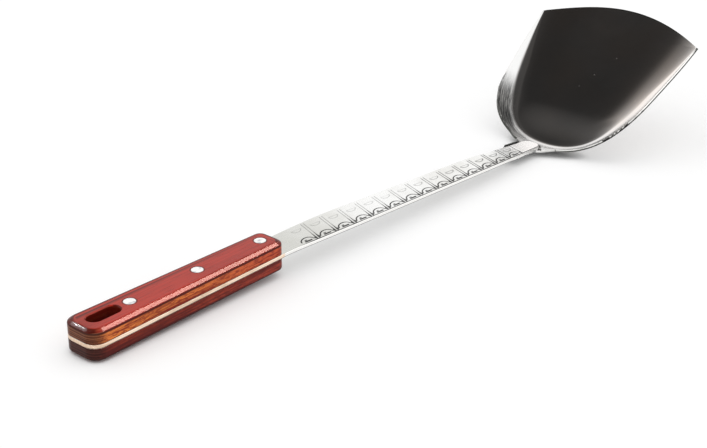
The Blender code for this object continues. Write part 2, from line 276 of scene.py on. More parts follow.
blade = dict(
    thickness=1.2, pitchDeg=37.6, length=84.5, width=101.4, frontBulge=14.5,
    floorSag=2.4, sagPower=4.0, sagRun=30.0,
    shoulderReach=40.0, shoulderWidth=82.6, heelFullness=24.0, shoulderPull=26.0, shoulderRise=7.0,
    sidePull=14.0, sideRise=3.4, cornerPull=15.0, cornerRise=2.1, cornerCut=0.9,
    wallSlant=9.8, wallBesideNeck=7.2, wallSlantAtCorner=0.3, wallPeak=27.0, wallFlareDeg=50.0, wallBend=3.2,
    heelAhead=10.0, heelDrop=3.4, neckWidth=23.6, neckRim=9.9, neckBlend=8.0, shoulderBlend=14.0,
    tailAhead=1.7, tailBehind=23.2, tailFlat=12.6, tailCloses=0.35, tailGap=0.1, tailTuck=2.0, tailFlare=0.45,
    tailSides=2.75, tailCorner=3.0, frontShadeWidth=0.9, edgeRound=0.16,
    frontRows=(0.0, 0.25, 0.5, 0.75, 1.0), floorRows=44, bendRows=7, wallRows=5, tailRows=30,
    rearColumns=120, sideColumns=56, crowding=1.4)

# the blade's tail lies under the shaft, so the shaft's sizes are needed here too
shaft = dict(
    thickness=2.0, buttWidth=20.9, frontWidth=16.4, noseWidth=11.0, buttCorner=6.2, noseCorner=4.2,
    handleLength=114.4, length=203.6, swell=2.1, arch=1.15, swellFull=55.0, swellEnds=145.0,
    bendLength=10.0, slopeDeg=3.18, edgeBreak=0.3, clearance=0.3,
    stationStep=0.23, across=64, underAcross=10, lineHeight=0.5, lineEnds=32.0, lineFade=8.0)


# a dark mirror inside, finely brushed and streaked on the outside of the heel; the rear wall there carries a
# painted dark reflection, and painted shade darkens the crevice beside the shaft and a band along the front
# edge
def makeBladeSteel():
    look = dict(
        floorColor=(0.60, 0.585, 0.575), warmColor=(0.66, 0.585, 0.53), dullColor=(0.48, 0.48, 0.48),
        wallColor=(0.62, 0.62, 0.615), paintedDarkWallColor=(0.30, 0.295, 0.285), paintedDarkStreakColor=(0.035, 0.035, 0.035),
        creviceShadeColor=(0.012, 0.011, 0.010), frontEdgeShadeColor=(0.030, 0.032, 0.026), warmShare=0.8, dullShare=0.4,
        floorRoughness=0.06, wallRoughness=0.13, groundRoughness=0.14, speckRoughness=0.30,
        creviceShadeRoughness=0.4, brushing=(110.0, 1700.0, 1.0), polishing=(60.0, 1100.0, 1100.0),
        smudgeScale=24.0, warmScale=16.0, dullScale=21.0, speckScale=150.0, reliefDepth=0.00005)
    material, graph, shader = newMaterial("polishedBladeSteel")
    place = graph.coordinate("Object")
    wall, rear = graph.attribute("wallShare"), graph.attribute("rearShare")
    creviceShade, frontShade = graph.attribute("creviceShadeShare"), graph.attribute("frontShare")
    alongRim = graph.add("ShaderNodeUVMap", {"uv_map": "pressing"})
    brushing = graph.stretchedNoise(alongRim, look["brushing"], 4.0, 0.7)
    polishing = graph.stretchedNoise(place, look["polishing"], 3.0, 0.6)
    smudges = graph.noise(place, look["smudgeScale"], 5.0, 0.6, 0.4)
    warm = graph.smooth(graph.noise(place, look["warmScale"], 2.0, 0.5), 0.42, 0.68)
    dull = graph.smooth(graph.noise(place, look["dullScale"], 3.0, 0.5, 0.3), 0.48, 0.72)
    speck = graph.add("ShaderNodeTexVoronoi", None, {"Vector": place, "Scale": look["speckScale"]})
    speck = graph.smooth(speck, 0.030, 0.060, 1.0, 0.0) * graph.smooth(speck.out("Color"), 0.58, 0.66)
    ground = wall * rear
    floorRoughness = look["floorRoughness"] + 0.05 * graph.smooth(smudges, 0.45, 0.8) + 0.02 * polishing
    wallRougher = look["wallRoughness"] - look["floorRoughness"] + 0.06 * brushing
    roughness = (floorRoughness + look["speckRoughness"] * speck * (1.0 - wall) + wall * wallRougher
                 + look["groundRoughness"] * ground + look["creviceShadeRoughness"] * creviceShade)
    tone = graph.mixColor(warm * look["warmShare"], look["floorColor"], look["warmColor"])
    tone = graph.mixColor(dull * look["dullShare"], tone, look["dullColor"])
    tone = graph.mixColor(wall, tone, look["wallColor"])
    # painted dark reflection: the rear wall's colour is darkened, its brushing showing as dark streaks
    streaks = graph.mixColor(graph.smooth(brushing, 0.36, 0.60), look["paintedDarkWallColor"], look["paintedDarkStreakColor"])
    tone = graph.mixColor(ground, tone, streaks)
    # painted shade in the crevice beside the shaft's far edge
    tone = graph.mixColor(creviceShade * graph.smooth(smudges, 0.2, 0.5, 0.85, 1.0), tone, look["creviceShadeColor"])
    # painted shade in a thin band along the front edge
    tone = graph.mixColor(frontShade * (0.75 + 0.35 * smudges), tone, look["frontEdgeShadeColor"])
    feed(graph, shader, Base_Color=tone, Metallic=1.0 - 0.6 * creviceShade, Roughness=roughness,
         Normal=bumped(graph, brushing * ground + 0.10 * polishing, look["reliefDepth"], 0.5))
    return material


# the sheared edge round the sheet: painted shade makes it dark at the front, and it is bright round the wall
def makeEdgeSteel():
    look = dict(dullColor=(0.03, 0.032, 0.026), brightColor=(0.80, 0.79, 0.775), fleckColor=(0.10, 0.10, 0.10),
                shearing=1500.0, roughness=0.16, reliefDepth=0.00005)
    material, graph, shader = newMaterial("shearedEdgeSteel")
    place = graph.coordinate("Object")
    across = graph.split(place).out("Y")
    rear, outer = graph.attribute("rearShare"), graph.attribute("outerShare")
    sheared = graph.noise(place, look["shearing"], 3.0, 0.6)
    fromCrease = graph.split(graph.add("ShaderNodeUVMap", {"uv_map": "pressing"})).out("Y")
    heel = graph.smooth(rear, 0.15, 0.5)
    unshadedEdge = graph.smooth(fromCrease, 0.0002, 0.0012)
    # painted shade keeps the far rim of the neck dark, and the outer half of the near lip too
    unshadedEdge = unshadedEdge * (1.0 - 0.95 * heel * graph.smooth(across, 0.003, 0.006))
    lip = graph.smooth(across, -0.020, -0.006, 1.0, 0.0)
    unshadedEdge = unshadedEdge * (1.0 - lip * graph.smooth(outer, 0.35, 0.60, 0.0, 0.95))
    # painted shade dims the edge by the heel
    unshadedEdge = unshadedEdge * (1.0 - 0.30 * heel)
    tone = graph.mixColor(unshadedEdge, look["dullColor"], look["brightColor"])
    tone = graph.mixColor(sheared * 0.08, tone, look["fleckColor"])
    feed(graph, shader, Base_Color=tone, Metallic=1.0, Roughness=look["roughness"] + 0.1 * sheared,
         Normal=bumped(graph, sheared, look["reliefDepth"], 0.5))
    return material


bladeSteel, edgeSteel = makeBladeSteel(), makeEdgeSteel()


def cubic(points, t):
    p0, p1, p2, p3 = (np.array(p, float) for p in points)
    t = np.asarray(t, float)[:, None]
    rest = 1 - t
    place = p0 * rest**3 + 3 * p1 * rest**2 * t + 3 * p2 * rest * t**2 + p3 * t**3
    way = (p1 - p0) * rest**2 + 2 * (p2 - p1) * rest * t + (p3 - p2) * t**2
    return place, way / np.linalg.norm(way, axis=1)[:, None]


# half of the line where the floor meets the wall, from the heel over the shoulder to the front corner
def creaseAt(shares):
    b = blade
    shoulder = (b["shoulderReach"], b["shoulderWidth"] / 2)
    corner = (b["length"], b["width"] / 2)
    rear = [(0, 0), (0, b["heelFullness"]),
            (shoulder[0] - b["shoulderPull"], shoulder[1] - b["shoulderRise"]), shoulder]
    side = [shoulder, (shoulder[0] + b["sidePull"], shoulder[1] + b["sideRise"]),
            (corner[0] - b["cornerPull"], corner[1] - b["cornerRise"]), corner]
    shares = np.asarray(shares, float)
    inRear = (shares <= 0.5)[:, None]
    placeA, wayA = cubic(rear, np.clip(shares * 2, 0, 1))
    placeB, wayB = cubic(side, np.clip(shares * 2 - 1, 0, 1))
    return np.where(inRear, placeA, placeB), np.where(inRear, wayA, wayB)


def smoothStep(value):
    value = np.clip(value, 0, 1)
    return value * value * (3 - 2 * value)


creaseLine = creaseAt(np.linspace(0, 1, 4001))[0]


# the floor sags between its creases
def floorHeight(along, across):
    half = np.interp(along, creaseLine[:, 0], creaseLine[:, 1])
    out = np.minimum(np.abs(across) / np.maximum(half, shaft["clearance"]), 1)
    return -blade["floorSag"] * (1 - out ** blade["sagPower"]) * smoothStep(along / blade["sagRun"])


# how wide the wall is, measured up its slope
def wallSlantAt(along, across):
    b = blade
    fade = (along - b["wallPeak"]) / (b["length"] - b["wallPeak"])
    ahead = b["wallSlant"] + (b["wallSlantAtCorner"] - b["wallSlant"]) * fade
    atNose = math.hypot(b["heelAhead"] - b["tailAhead"], b["heelDrop"])
    besideFlat = smoothStep((2 * across - b["tailFlat"]) / (b["neckWidth"] - b["tailFlat"]))
    beyondNeck = smoothStep((across - b["neckWidth"] / 2) / b["neckBlend"])
    atShoulder = smoothStep((across - b["neckWidth"] / 2 - b["neckBlend"]) / b["shoulderBlend"])
    neck = atNose + (b["neckRim"] - atNose) * besideFlat
    wall = b["wallBesideNeck"] + (b["wallSlant"] - b["wallBesideNeck"]) * atShoulder
    return np.where(along > b["wallPeak"], ahead, neck + (wall - neck) * beyondNeck)


# the wall's angle to the floor, in radians; at the neck it lines up with the tail plate
def wallFlareAt(across):
    b = blade
    rise = b["pitchDeg"] + math.degrees(math.atan2(b["heelDrop"], b["heelAhead"] - b["tailAhead"]))
    reach = b["tailFlat"] / 2 + b["neckBlend"] + b["shoulderBlend"]
    share = smoothStep((across - b["tailFlat"] / 2) / reach)
    return np.radians(rise + (b["wallFlareDeg"] - rise) * share)


# 1 along the middle of the bare shaft, 0 at the handle and at the nose
def swellAt(x):
    run = np.asarray(x, float) - shaft["handleLength"]
    away = (run - shaft["swellEnds"]) / (shaft["length"] - shaft["swellEnds"])
    return (1 - (1 - np.clip(run / shaft["swellFull"], 0, 1)) ** 2) * (1 - smoothStep(away))


# how much a round corner takes off the half width at a distance from the bar's end
def cornerLoss(fromEnd, radius):
    fromEnd = np.clip(fromEnd, 0, radius)
    return radius - np.sqrt(np.maximum(radius**2 - (radius - fromEnd) ** 2, 0))


def barHalfWidth(x):
    s = shaft
    total = s["handleLength"] + s["length"]
    tang = s["buttWidth"] + (s["frontWidth"] - s["buttWidth"]) * x / s["handleLength"]
    bare = s["frontWidth"] + (s["noseWidth"] - s["frontWidth"]) * (x - s["handleLength"]) / s["length"]
    half = np.where(x < s["handleLength"], tang, bare) / 2
    return (half - cornerLoss(x, s["buttCorner"]) - cornerLoss(total - x, s["noseCorner"])
            + s["swell"] * swellAt(x))


# how far the bar's middle lies under the handle's line
def barDrop(x):
    slope = math.tan(math.radians(shaft["slopeDeg"]))
    run = np.asarray(x, float) - shaft["handleLength"]
    bend = shaft["bendLength"]
    curved = slope * np.clip(run, 0, bend) ** 2 / (2 * bend)
    return curved + slope * np.maximum(run - bend, 0) - shaft["arch"] * swellAt(x)


# the upper face of the tail plate
def tailTop(x):
    return -barDrop(x) - shaft["thickness"] / 2 - shaft["clearance"]


# from the blade's pitched plane to the handle's straight frame
def bladeToBar(along, across, height):
    pitch = math.radians(blade["pitchDeg"])
    nose = shaft["handleLength"] + shaft["length"]
    heelX = nose + blade["heelAhead"]
    heelZ = float(tailTop(nose)) - blade["heelDrop"]
    return np.stack([heelX + along * math.cos(pitch) - height * math.sin(pitch), across,
                     heelZ + along * math.sin(pitch) + height * math.cos(pitch)], axis=-1)


def makeBlade():
    b = blade
    rear = 0.5 * (np.arange(b["rearColumns"]) / b["rearColumns"]) ** b["crowding"]
    side = 0.5 + 0.5 * np.arange(b["sideColumns"] + 1) / b["sideColumns"]
    shares = np.concatenate([rear, side])
    base, way = creaseAt(shares)
    out = np.stack([-way[:, 1], way[:, 0]], axis=1)
    edgeHalf = (b["width"] / 2 - b["cornerCut"]) * shares
    edgeAlong = b["length"] + b["frontBulge"] * (1 - (edgeHalf / (b["width"] / 2)) ** 2)
    slant, flare = wallSlantAt(base[:, 0], base[:, 1]), wallFlareAt(base[:, 1])
    bend = np.minimum(b["wallBend"], slant / 2)
    inner = base - out * bend[:, None]
    rimRun = np.concatenate([[0], np.cumsum(np.linalg.norm(np.diff(base, axis=0), axis=1))])
    rows, shareOfWall, acrossRim, frontShade = [], [], [], []
    # the floor, from the front edge to the foot of the wall
    edge = np.stack([edgeAlong, edgeHalf], axis=1)
    toFront = np.array(b["frontRows"]) / b["length"]
    for t in np.concatenate([toFront, np.linspace(toFront[-1] * 2, 1, b["floorRows"])]):
        place = edge * (1 - t) + inner * t
        rows.append(np.column_stack([place, floorHeight(place[:, 0], place[:, 1])]))
        shareOfWall.append(np.zeros(len(shares)))
        acrossRim.append(-np.linalg.norm(base - place, axis=1))
        # a painted shade band along the front edge, for the finish to read
        frontShade.append(1 - smoothStep(t * b["length"] / b["frontShadeWidth"]) * np.ones(len(shares)))
    # the bend, and then the straight wall
    startHeight = rows[-1][:, 2]
    for t in np.arange(1, b["bendRows"] + 1) / b["bendRows"]:
        offset = -bend * (1 - t) ** 2 + bend * np.cos(flare) * t * t
        height = startHeight * (1 - t) ** 2 + bend * np.sin(flare) * t * t
        rows.append(np.column_stack([base + out * offset[:, None], height]))
        shareOfWall.append(np.full(len(shares), smoothStep(t)))
        acrossRim.append(bend * (2 * t - 1))
    for t in np.arange(1, b["wallRows"] + 1) / b["wallRows"]:
        reach = bend + (slant - bend) * t
        rows.append(np.column_stack([base + out * (reach * np.cos(flare))[:, None], reach * np.sin(flare)]))
        shareOfWall.append(np.ones(len(shares)))
        acrossRim.append(reach)
    # both halves are laid side by side as one grid, a column for each place along the rim
    half = np.stack([bladeToBar(r[:, 0], r[:, 1], r[:, 2]) for r in rows], axis=1)
    order = list(range(len(shares) - 1, -1, -1)) + list(range(1, len(shares)))
    sign = np.array([1] * len(shares) + [-1] * (len(shares) - 1))
    grid = half[order].copy()
    grid[:, :, 1] *= sign[:, None]
    columns, count = grid.shape[:2]
    vertices = list(grid.reshape(-1, 3))
    rearward = smoothStep((b["wallPeak"] + 14 - base[:, 0]) / 18)
    rearward = rearward * (0.45 + 0.55 * smoothStep((base[:, 1] - 7) / 9))
    rearShare = list(np.repeat(rearward[order], count))
    creviceShadeShare = [0.0] * len(vertices)
    frontShade += [np.zeros(len(shares))] * (count - len(frontShade))
    frontShare = list(np.stack(frontShade, axis=1)[order].reshape(-1))
    wallShare = list(np.stack(shareOfWall, axis=1)[order].reshape(-1))
    u = np.repeat((rimRun[order] * sign)[:, None], count, axis=1)
    v = np.stack(acrossRim, axis=1)[order]
    uv = list(np.stack([u, v], axis=-1).reshape(-1, 2))
    faces = []
    for c in range(columns - 1):
        for r in range(count - 1):
            a = c * count + r
            faces.append((a, a + 1, a + count + 1, a + count))
    # the tail plate carries the wall back under the shaft, its raised sides sinking on the way
    inNeck = [i for i in range(columns) if abs(base[order[i], 1]) < b["neckWidth"] / 2]
    rim = [i * count + count - 1 for i in inNeck]
    neck = np.array([vertices[i] for i in rim])
    end = shaft["handleLength"] + shaft["length"] - b["tailBehind"]
    neckHalf = neck[:, 1].max()
    raised = neck[:, 2] - tailTop(neck[:, 0])
    raised = np.where(np.abs(neck[:, 1]) < b["tailFlat"] / 2, 0, np.maximum(raised, 0))
    liftMax = raised.max()
    raised = raised / liftMax
    flatShare = np.abs(neck[raised == 0, 1]).max() / neckHalf
    previous = rim
    across, farHalf = neck[:, 1] / neckHalf, neck[:, 1] > 0
    for step in range(1, b["tailRows"] + 1):
        share = step / b["tailRows"]
        corner = b["tailCorner"] * across**4 * smoothStep(share * 3 - 2)
        x = neck[:, 0] + (end - neck[:, 0]) * share + corner
        # the far side closes on the shaft first and sinks at the end; the near one sinks at once,
        # tucked under the shaft
        closing = smoothStep(share / b["tailCloses"])
        hugging = barHalfWidth(x) + b["tailGap"] + raised * b["tailFlare"]
        flat = across * (barHalfWidth(x) + b["tailGap"]) / flatShare
        target = np.where(raised > 0, np.sign(across) * hugging, flat)
        tucked = np.maximum(target, -(barHalfWidth(x) - b["tailTuck"]))
        target = np.where(farHalf, target, tucked)
        sides = liftMax + (b["tailSides"] - liftMax) * closing
        sunk = np.where(farHalf, smoothStep((share - 0.75) / 0.25), smoothStep(share / 0.22))
        lift = raised * sides * (1 - sunk)
        row = np.column_stack([x, neck[:, 1] + (target - neck[:, 1]) * closing, tailTop(x) + lift])
        start = len(vertices)
        vertices.extend(row)
        wallShare.extend([1.0] * len(row))
        rearShare.extend(0.45 * smoothStep(row[:, 1] / 3.0))
        # painted shade for the far crevice beside the shaft
        creviceShadeShare.extend(smoothStep((row[:, 1] - 4.5) / 1.0) * smoothStep((share - 0.15) / 0.20))
        frontShare.extend([0.0] * len(row))
        uv.extend([(uv[i][0], uv[i][1] + share * b["tailBehind"]) for i in rim])
        following = list(range(start, start + len(row)))
        for i in range(len(row) - 1):
            faces.append((previous[i], following[i], following[i + 1], previous[i + 1]))
        previous = following
    piece = meshObject("bladePressing", np.array(vertices) * mm, faces, smoothDeg=None)
    mesh = piece.data
    if mesh.polygons[0].normal.z < 0:
        mesh.flip_normals()
    for key, values in (("wallShare", wallShare), ("rearShare", rearShare), ("creviceShadeShare", creviceShadeShare),
                        ("frontShare", frontShare)):
        mark(piece, key, values)
    layer = mesh.uv_layers.new(name="pressing")
    uv = np.array(uv) * mm
    loops = np.empty(len(mesh.loops), np.int32)
    mesh.loops.foreach_get("vertex_index", loops)
    layer.data.foreach_set("uv", uv[loops].astype(np.float32).reshape(-1))
    mesh.materials.append(bladeSteel)
    mesh.materials.append(edgeSteel)
    sheet = piece.modifiers.new("Sheet", "SOLIDIFY")
    sheet.thickness = b["thickness"] * mm
    sheet.offset = -1
    sheet.use_even_offset = False
    sheet.use_quality_normals = True
    sheet.material_offset_rim = 1
    freeze(piece)
    # 0 on the inner skin and 1 on the outer, so the cut edge can tell its two halves apart
    mark(piece, "outerShare", np.arange(len(piece.data.vertices)) >= len(vertices))
    edges = piece.modifiers.new("Edges", "BEVEL")
    edges.width = b["edgeRound"] * mm
    edges.segments = 2
    edges.limit_method = "ANGLE"
    edges.angle_limit = math.radians(60)
    freeze(piece, smoothDeg=50.0)
    seat(piece, "blade")
    return piece


bladePiece = makeBlade()
print("blade pressed:", len(bladePiece.data.polygons), "faces")


# Handle cutters

handle = dict(
    scaleThickness=6.3, frontCorner=5.0, chamferWidth=2.0, chamferDrop=1.5, cornerRound=0.5,
    rivetDiameter=5.6, rivetEase=0.04, slotStart=5.8, slotLength=16.8, slotWidth=7.4, slotChamfer=0.5,
    arcSteps=20, roundSteps=9)

halfHeight = shaft["thickness"] / 2 + shaft["clearance"] + handle["scaleThickness"]


def slotRing(grow, height):
    radius = handle["slotWidth"] / 2 + grow
    first = handle["slotStart"] + handle["slotWidth"] / 2
    last = handle["slotStart"] + handle["slotLength"] - handle["slotWidth"] / 2
    ring = []
    for centre, turn in ((last, -math.pi / 2), (first, math.pi / 2)):
        for step in range(handle["arcSteps"] + 1):
            angle = turn + math.pi * step / handle["arcSteps"]
            ring.append((centre + radius * math.cos(angle), radius * math.sin(angle), height))
    return ring


# the quads between two rings of vertices that start at these numbers
def ringWall(lower, upper, count):
    faces = []
    for i in range(count):
        after = (i + 1) % count
        faces.append((lower + i, lower + after, upper + after, upper + i))
    return faces


def makeCutter():
    h = handle
    chamfer, beyond = h["slotChamfer"], 4.0
    reach = halfHeight + beyond
    heights = [(chamfer + beyond, -reach), (0.0, chamfer - halfHeight), (0.0, halfHeight - chamfer),
               (chamfer + beyond, reach)]
    rings = [slotRing(grow, height) for grow, height in heights]
    vertices = [p for ring in rings for p in ring]
    count = len(rings[0])
    faces = [tuple(reversed(range(count))), tuple(range(3 * count, 4 * count))]
    for level in range(3):
        faces += ringWall(level * count, (level + 1) * count, count)
    sides = 64
    radius = h["rivetDiameter"] / 2 + h["rivetEase"]
    for place in rivetPlaces:
        start = len(vertices)
        for height in (-reach, reach):
            for i in range(sides):
                angle = math.tau * i / sides
                vertices.append((place / mm + radius * math.cos(angle), radius * math.sin(angle), height))
        faces.append(tuple(reversed(range(start, start + sides))))
        faces.append(tuple(range(start + sides, start + 2 * sides)))
        faces += ringWall(start, start + sides, sides)
    cutter = meshObject("handleCutter", np.array(vertices) * mm, faces)
    # the walls of the holes count as far in from the outline
    mark(cutter, "inset", np.full(len(vertices), 5.0 * mm))
    cutter.hide_render = True
    return cutter


cutter = makeCutter()


def cutHoles(piece):
    holes = piece.modifiers.new("Holes", "BOOLEAN")
    holes.operation, holes.solver, holes.object = "DIFFERENCE", "EXACT", cutter


# Tang and engraved shaft

# bright satin steel, dark in the engraving and warm where the tang's side shows between the scales; painted
# highlights lie on the bare sides and the nose, a painted dark reflection of the handle on the shaft beside it,
# and painted shade lines low on the sides and along the near edge
def makeShaftSteel():
    look = dict(
        color=(0.60, 0.60, 0.59), dullColor=(0.53, 0.525, 0.505), recessAndShadeColor=(0.020, 0.019, 0.018),
        sideHighlightColor=(0.90, 0.89, 0.87), handleReflectionColor=(0.36, 0.36, 0.33), handleReflectionReach=0.075,
        lacquered=(0.98, 0.78, 0.62), lacquerWorn=(0.70, 0.52, 0.38),
        noseHighlightColor=(0.90, 0.885, 0.875), noseFrom=0.026, noseTo=0.012,
        roughness=0.20, drawing=(60.0, 1500.0, 1500.0), smudgeScale=45.0, reliefDepth=0.00002)
    material, graph, shader = newMaterial("satinShaftSteel")
    place = graph.coordinate("Object")
    x = graph.split(place).out("X")
    facing = graph.split(graph.coordinate("Normal")).out("Z")
    drawn = graph.stretchedNoise(place, look["drawing"], 3.0, 0.6)
    smudges = graph.noise(place, look["smudgeScale"], 4.0, 0.55, 0.3)
    # dark in the engraving, and as painted shade along the low line of the sides and the near edge
    dark = graph.smooth(graph.attribute("recessAndShade"), 0.12, 0.75)
    side = graph.smooth(abs(facing), 0.3, 0.7, 1.0, 0.0)
    tone = graph.mixColor(graph.smooth(smudges, 0.42, 0.70), look["color"], look["dullColor"])
    # painted dark reflection of the handle on the shaft beside it
    handleReflection = graph.smooth(x, frontEnd, frontEnd + look["handleReflectionReach"], 0.75, 0.0)
    tone = graph.mixColor(handleReflection, tone, look["handleReflectionColor"])
    # painted highlight on the nose
    atNose = graph.smooth(x, noseEnd - look["noseFrom"], noseEnd - look["noseTo"])
    tone = graph.mixColor(atNose, tone, look["noseHighlightColor"])
    # painted highlight on the bare sides
    tone = graph.mixColor(side, tone, look["sideHighlightColor"])
    inHandle = side * graph.smooth(x, frontEnd - 0.0015, frontEnd, 1.0, 0.0)
    worn = graph.smooth(drawn * 0.5 + smudges * 0.5, 0.42, 0.60)
    tone = graph.mixColor(inHandle, tone, graph.mixColor(worn, look["lacquered"], look["lacquerWorn"]))
    tone = graph.mixColor(dark * (0.85 + 0.15 * smudges), tone, look["recessAndShadeColor"])
    roughness = look["roughness"] + 0.08 * drawn + 0.06 * smudges + 0.30 * dark
    feed(graph, shader, Base_Color=tone, Metallic=1.0 - 0.4 * dark, Roughness=roughness,
         Normal=bumped(graph, drawn, look["reliefDepth"], 0.4))
    return material


shaftSteel = makeShaftSteel()

# A leaf border: each panel has a dash by the near edge with an arch over it and a pip inside, a fainter arch
# by the far edge, and a pair of bars with a spot between it and the next panel.
# A pip or spot is (ahead, in, half length, half height).
engraving = dict(
    first=132.8, pitch=12.55, panels=14, slant=0.36, depth=0.22, line=0.41,
    baseHalf=2.6, baseInset=1.8, baseThick=0.80, archHalf=4.0, archRise=3.4, pip=(-0.9, 1.2, 1.1, 0.45),
    barOffset=0.85, barInset=0.9, barFaint=0.45, barPlain=0.72, spot=(1.1, 0.3, 0.9, 1.0),
    farHalf=3.0, farRise=2.2, farInset=2.0, farShare=0.36, farShareAhead=0.54, farShift=3.7,
    fadeFrom=70.0, fadeTo=170.0)


def oval(across, up, halfLength, rise):
    return ((across / halfLength) ** 2.0 + (up / rise) ** 2.0) ** 0.5


# 1 inside a small oval mark
def dot(graph, size, ahead, up, inner, outer, share):
    place, height, halfLength, rise = (value * mm for value in size)
    return graph.smooth(oval(ahead - place, up - height, halfLength, rise), inner, outer, share, 0.0)


def engrave(graph, given):
    e = engraving
    split = graph.split(graph.add("GeometryNodeInputPosition"))
    x, y = split.out("X"), split.out("Y")
    # how far in from each edge
    near, far = graph.field("fromNear"), graph.field("fromFar")
    run = x - given["Slant"] * y - given["First"] + given["Pitch"] / 2
    a = (run % given["Pitch"]) - given["Pitch"] / 2
    fromBar = given["Pitch"] / 2 - abs(a)
    fromFront, line = x - given["Front"], given["Line"]
    overBase, overFar = near - given["Base Inset"], far - given["Far Inset"]

    def towardsBlade(first, last):
        return graph.smooth(fromFront, e["fadeFrom"] * mm, e["fadeTo"] * mm, first, last)

    base = graph.band(overBase, given["Base Thick"])
    base = base * graph.smooth(abs(a - 0.0003), given["Base Half"] * 0.8, given["Base Half"], 1.0, 0.0)
    ring = oval(a, overBase, given["Arch Half"], given["Arch Rise"])
    arch = graph.band((ring - 1.0) * given["Arch Rise"], line * 1.3)
    arch = arch * graph.smooth(overBase, -0.0002, 0.0003) * graph.smooth(a, -0.001, 0.003, 1.0, 0.6)
    pip = dot(graph, e["pip"], a, overBase, 0.7, 1.1, 0.7)
    # each bar swells at its near end
    bars = graph.band(fromBar - given["Bar Offset"], line * (1.0 + graph.smooth(near, 0.001, 0.006, 0.9, 0.0)))
    bars = bars * graph.smooth(near, given["Bar Inset"] * 0.8, given["Bar Inset"] * 1.1)
    faint = towardsBlade(given["Bar Faint"], given["Bar Plain"])
    bars = bars * graph.smooth(far, -0.0018, -0.0014) * graph.smooth(near, 0.002, 0.009, 0.9, faint)
    spot = dot(graph, e["spot"], fromBar, overBase, 0.6, 1.2, 1.0)
    farRing = oval(a, overFar, given["Far Half"], given["Far Rise"])
    farArch = graph.band((farRing - 1.0) * given["Far Rise"], line * 1.2)
    farBase = graph.band(overFar, line)
    farBase = farBase * graph.smooth(abs(a), given["Far Half"] * 0.8, given["Far Half"], 1.0, 0.0)
    farMark = farArch.most(farBase) * graph.smooth(overFar, -0.0003, -0.0001)
    farMark = farMark * towardsBlade(given["Far Share"], given["Far Share Ahead"])
    cut = base.most(arch).most(pip).most(bars).most(spot).most(farMark)
    started = graph.smooth(run, 0.0018, 0.0022)
    ended = graph.smooth(run - given["Pitch"] * given["Panels"], -0.0004, 0.0, 1.0, 0.0)
    # painted shade: a dark line along the near edge of the upper face, cut in with the engraving
    edge = graph.smooth(near, 0.0004, 0.0011, 0.95, 0.0) * graph.smooth(fromFront, 0.004, 0.02)
    # only the upper face of the bare shaft is cut
    upward = graph.split(graph.add("GeometryNodeInputNormal")).out("Z")
    cut = (cut * started * ended).most(edge) * graph.smooth(upward, 0.6, 0.9)
    cut = cut * graph.smooth(fromFront, 0.002, 0.003)
    # the dark mark takes the engraving and the painted shade line low on the sides
    made = graph.store(given["Geometry"], "recessAndShade", cut.most(graph.field("underLine")))
    made = graph.store(made, "carved", cut)
    offset = graph.add("ShaderNodeCombineXYZ", None, {"Z": -(graph.field("carved") * given["Depth"])})
    return graph.add("GeometryNodeSetPosition", None, {"Geometry": made, "Offset": offset})


